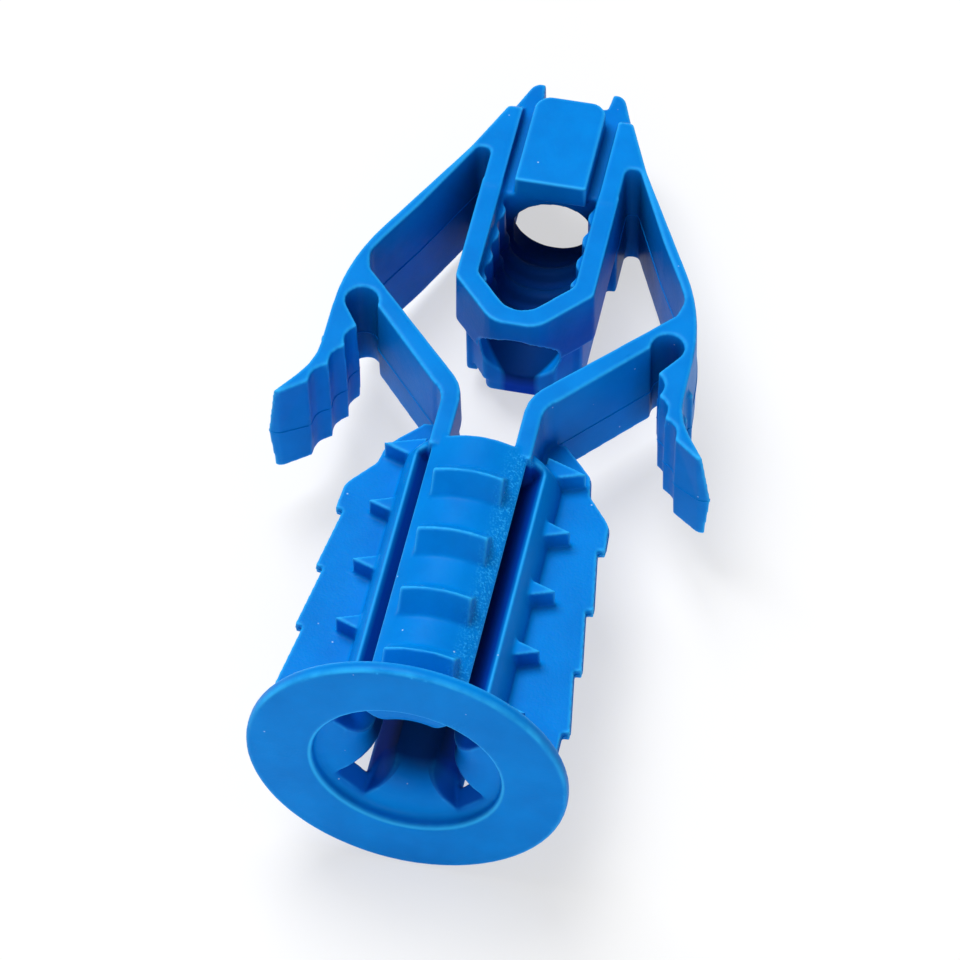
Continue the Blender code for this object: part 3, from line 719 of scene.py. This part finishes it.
def parting_tree():
    """A bead of one width along the piece's edges."""
    tree, source, target = node_tree_group(
        "parting_line_bead", [("Width", "NodeSocketFloat"), ("Spacing", "NodeSocketFloat")]
    )
    path = node(tree, "GeometryNodeMeshToCurve")
    spaced = node(tree, "GeometryNodeResampleCurve", mode="LENGTH")
    circle = node(tree, "GeometryNodeCurvePrimitiveCircle", mode="RADIUS")
    circle.inputs["Resolution"].default_value = 6
    half = node(tree, "ShaderNodeMath", operation="MULTIPLY")
    half.inputs[1].default_value = 0.5
    bead = node(tree, "GeometryNodeCurveToMesh")
    bead.inputs["Fill Caps"].default_value = True
    link = tree.links.new
    link(source.outputs["Geometry"], path.inputs["Mesh"])
    link(path.outputs["Curve"], spaced.inputs["Curve"])
    link(source.outputs["Spacing"], spaced.inputs["Length"])
    link(source.outputs["Width"], half.inputs[0])
    link(half.outputs["Value"], circle.inputs["Radius"])
    link(spaced.outputs["Curve"], bead.inputs["Curve"])
    link(circle.outputs["Curve"], bead.inputs["Profile Curve"])
    finish_tree(tree, source, target, bead.outputs["Mesh"])
    return tree


def parting_path(mesh):
    """Where the plane between the two halves of the mould meets the skin, as a mesh of edges."""
    own = lie().inverted()
    shape = bmesh.new()
    shape.from_mesh(mesh)
    cut = bmesh.ops.bisect_plane(
        shape,
        geom=list(shape.verts) + list(shape.edges) + list(shape.faces),
        plane_co=OWN_ORIGIN,
        plane_no=UPWARDS,
    )
    kept = set()
    for item in cut["geom_cut"]:
        if isinstance(item, bmesh.types.BMEdge):
            place = own @ item.verts[0].co
            in_the_bore = abs(place.x) < BORE_REACH and place.y < SHANK_END
            if place.y > COLLAR_END and not in_the_bore:
                kept.add(item)
    bmesh.ops.delete(shape, geom=list(shape.faces), context="FACES_ONLY")
    bmesh.ops.delete(shape, geom=[edge for edge in shape.edges if edge not in kept], context="EDGES")
    bmesh.ops.delete(shape, geom=[vert for vert in shape.verts if not vert.link_edges], context="VERTS")
    path = bpy.data.meshes.new("parting_path")
    shape.to_mesh(path)
    shape.free()
    return path


class OBJECT_OT_fixing_parting_line(bpy.types.Operator):
    """Lays the fine bead where the two halves of the mould meet"""

    bl_idname = "object.fixing_parting_line"
    bl_label = "Parting line"

    def execute(self, context):
        sizes = context.scene.moulding_sizes
        piece = new_piece("parting_line", parting_path(bpy.data.objects["moulding"].data))
        grown(
            piece,
            parting_tree(),
            {"Width": sizes.line_width, "Spacing": sizes.line_spacing, "Material": fixing_plastic()},
        )
        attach(piece, "root")
        return {"FINISHED"}


def nub_tree():
    """A rounded nub at each point of the piece, each of its own size and turn."""
    tree, source, target = node_tree_group(
        "flash_nubs", [("Size", "NodeSocketFloat"), ("Seed", "NodeSocketInt")]
    )
    nub = node(tree, "GeometryNodeMeshIcoSphere")
    nub.inputs["Subdivisions"].default_value = 3
    half = node(tree, "ShaderNodeMath", operation="MULTIPLY")
    half.inputs[1].default_value = 0.5
    sizes = node(tree, "FunctionNodeRandomValue", data_type="FLOAT_VECTOR")
    sizes.inputs["Min"].default_value = (0.55, 0.55, 0.55)
    sizes.inputs["Max"].default_value = (1, 1, 1)
    turns = node(tree, "FunctionNodeRandomValue", data_type="FLOAT_VECTOR")
    turns.inputs["Max"].default_value = (math.tau, math.tau, math.tau)
    placed = node(tree, "GeometryNodeInstanceOnPoints")
    link = tree.links.new
    link(source.outputs["Size"], half.inputs[0])
    link(half.outputs["Value"], nub.inputs["Radius"])
    link(source.outputs["Seed"], sizes.inputs["Seed"])
    link(source.outputs["Seed"], turns.inputs["Seed"])
    link(source.outputs["Geometry"], placed.inputs["Points"])
    link(nub.outputs["Mesh"], placed.inputs["Instance"])
    link(turns.outputs["Value"], placed.inputs["Rotation"])
    link(sizes.outputs["Value"], placed.inputs["Scale"])
    finish_tree(tree, source, target, placed.outputs["Instances"])
    return tree


class OBJECT_OT_fixing_flash_nubs(bpy.types.Operator):
    """Adds the small nubs of flash on the flange's rim"""

    bl_idname = "object.fixing_flash_nubs"
    bl_label = "Flash nubs"

    def execute(self, context):
        sizes = context.scene.moulding_sizes
        rim = FLANGE_RADIUS - sizes.nub_size * NUB_SINK
        places = [
            Vector((rim * math.sin(math.radians(angle)), FLANGE_MIDDLE, rim * math.cos(math.radians(angle))))
            for angle in NUB_ANGLES
        ]
        mesh = bpy.data.meshes.new("nub_places")
        mesh.from_pydata([lie() @ place for place in places], [], [])
        piece = new_piece("flash_nubs", mesh)
        grown(
            piece,
            nub_tree(),
            {"Size": sizes.nub_size, "Seed": sizes.nub_seed, "Material": fixing_plastic()},
        )
        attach(piece, "root")
        return {"FINISHED"}


class SCENE_OT_fixing_stage(bpy.types.Operator):
    """Sets the floor, the lamps and the camera"""

    bl_idname = "scene.fixing_stage"
    bl_label = "Stage"

    def execute(self, context):
        settings = context.scene.stage_settings
        stage_floor(settings)
        stage_light(settings)
        stage_camera(settings)
        return {"FINISHED"}


def stage_floor(settings):
    """A wide pale floor under the fixing."""
    mesh = bpy.data.meshes.new("floor")
    corners = [(x * FLOOR_HALF, y * FLOOR_HALF, 0) for x, y in ((-1, -1), (1, -1), (1, 1), (-1, 1))]
    mesh.from_pydata(corners, [], [(0, 1, 2, 3)])
    floor = new_piece("floor", mesh)
    material = bpy.data.materials.new("floor_paper")
    material.use_nodes = True
    tree = material.node_tree
    shader = tree.nodes["Principled BSDF"]
    shader.inputs["Base Color"].default_value = (*settings.floor, 1)
    shader.inputs["Roughness"].default_value = 0.9
    shader.inputs["Specular IOR Level"].default_value = 0.2
    seen = node(tree, "ShaderNodeLightPath")
    direct = combined(
        tree,
        "MAXIMUM",
        seen.outputs["Is Camera Ray"],
        seen.outputs["Is Glossy Ray"],
        seen.outputs["Is Transmission Ray"],
    )
    glow = node(tree, "ShaderNodeEmission")
    glow.inputs["Color"].default_value = (1, 1, 1, 1)
    lifted = node(tree, "ShaderNodeMixShader")
    tree.links.new(scaled(tree, direct, settings.shadow_lift), lifted.inputs["Fac"])
    tree.links.new(shader.outputs["BSDF"], lifted.inputs[1])
    tree.links.new(glow.outputs["Emission"], lifted.inputs[2])
    tree.links.new(lifted.outputs["Shader"], tree.nodes["Material Output"].inputs["Surface"])
    mesh.materials.append(material)


def lamp(name, place, aim, size, power):
    """A soft square lamp at a place, turned to the aim."""
    data = bpy.data.lights.new(name, "AREA")
    data.shape = "SQUARE"
    data.size = size
    data.energy = power
    made = bpy.data.objects.new(name, data)
    made.location = place
    made.rotation_euler = (aim - place).to_track_quat("-Z", "Y").to_euler()
    bpy.context.scene.collection.objects.link(made)


def stage_light(settings):
    """A large lamp above and behind, a softer one on the camera's side, and a pale world."""
    low, high = CAD_BOX
    middle = (Vector(low) + Vector(high)) / 2
    lamp("key_lamp", middle + KEY_PLACE, middle, KEY_SIZE, settings.key_power)
    lamp("fill_lamp", middle + FILL_PLACE, middle, FILL_SIZE, settings.fill_power)
    world = bpy.data.worlds.new("studio")
    world.use_nodes = True
    background = world.node_tree.nodes["Background"]
    background.inputs["Color"].default_value = (1, 1, 1, 1)
    background.inputs["Strength"].default_value = settings.world
    bpy.context.scene.world = world


def stage_camera(settings):
    """The camera where the photograph was taken from, turned to the middle of the fixing and zoomed in."""
    right = CAMERA_RIGHT.normalized()
    back = right.cross(CAMERA_UP).normalized()
    up = back.cross(right)
    across, down = ((pixel / PHOTO_SIZE - 0.5) / PHOTO_LENS for pixel in PHOTO_POINT)
    new_back = -(right * across - up * down - back).normalized()
    new_right = up.cross(new_back).normalized()
    new_up = new_back.cross(new_right)
    turn = Matrix((new_right, new_up, new_back)).transposed().to_4x4()
    camera = bpy.data.objects.new("camera", bpy.data.cameras.new("camera"))
    camera.data.lens = settings.lens
    camera.data.sensor_width = 36
    camera.data.clip_start = 0.01
    camera.data.clip_end = 10
    bpy.context.scene.collection.objects.link(camera)
    camera.matrix_world = lie() @ Matrix.Translation(CAMERA_PLACE) @ turn
    bpy.context.scene.camera = camera


class VIEW3D_PT_fixing(bpy.types.Panel):
    """Lists the fixing's sizes, colours and steps"""

    bl_idname = "VIEW3D_PT_fixing"
    bl_label = "Plasterboard fixing"
    bl_space_type = "VIEW_3D"
    bl_region_type = "UI"
    bl_category = "Fixing"

    def draw(self, context):
        layout = self.layout
        scene = context.scene
        for group in (scene.moulding_sizes, scene.plastic_colours, scene.stage_settings):
            box = layout.box()
            for name in group.__annotations__:
                box.prop(group, name)
        for operator in OPERATORS:
            layout.operator(operator.bl_idname)


OPERATORS = (
    OBJECT_OT_fixing_moulding,
    OBJECT_OT_fixing_parting_line,
    OBJECT_OT_fixing_flash_nubs,
    SCENE_OT_fixing_stage,
)
CLASSES = (MouldingSizes, PlasticColours, StageSettings, *OPERATORS, VIEW3D_PT_fixing)


def register():
    for item in CLASSES:
        bpy.utils.register_class(item)
    bpy.types.Scene.moulding_sizes = PointerProperty(type=MouldingSizes)
    bpy.types.Scene.plastic_colours = PointerProperty(type=PlasticColours)
    bpy.types.Scene.stage_settings = PointerProperty(type=StageSettings)


def unregister():
    del bpy.types.Scene.stage_settings
    del bpy.types.Scene.plastic_colours
    del bpy.types.Scene.moulding_sizes
    for item in reversed(CLASSES):
        bpy.utils.unregister_class(item)


def main():
    """Builds every piece and the stage."""
    register()
    bpy.context.scene.view_settings.view_transform = "Standard"
    bpy.ops.object.fixing_moulding()
    bpy.ops.object.fixing_parting_line()
    bpy.ops.object.fixing_flash_nubs()
    bpy.ops.scene.fixing_stage()


if __name__ == "__main__":
    main()
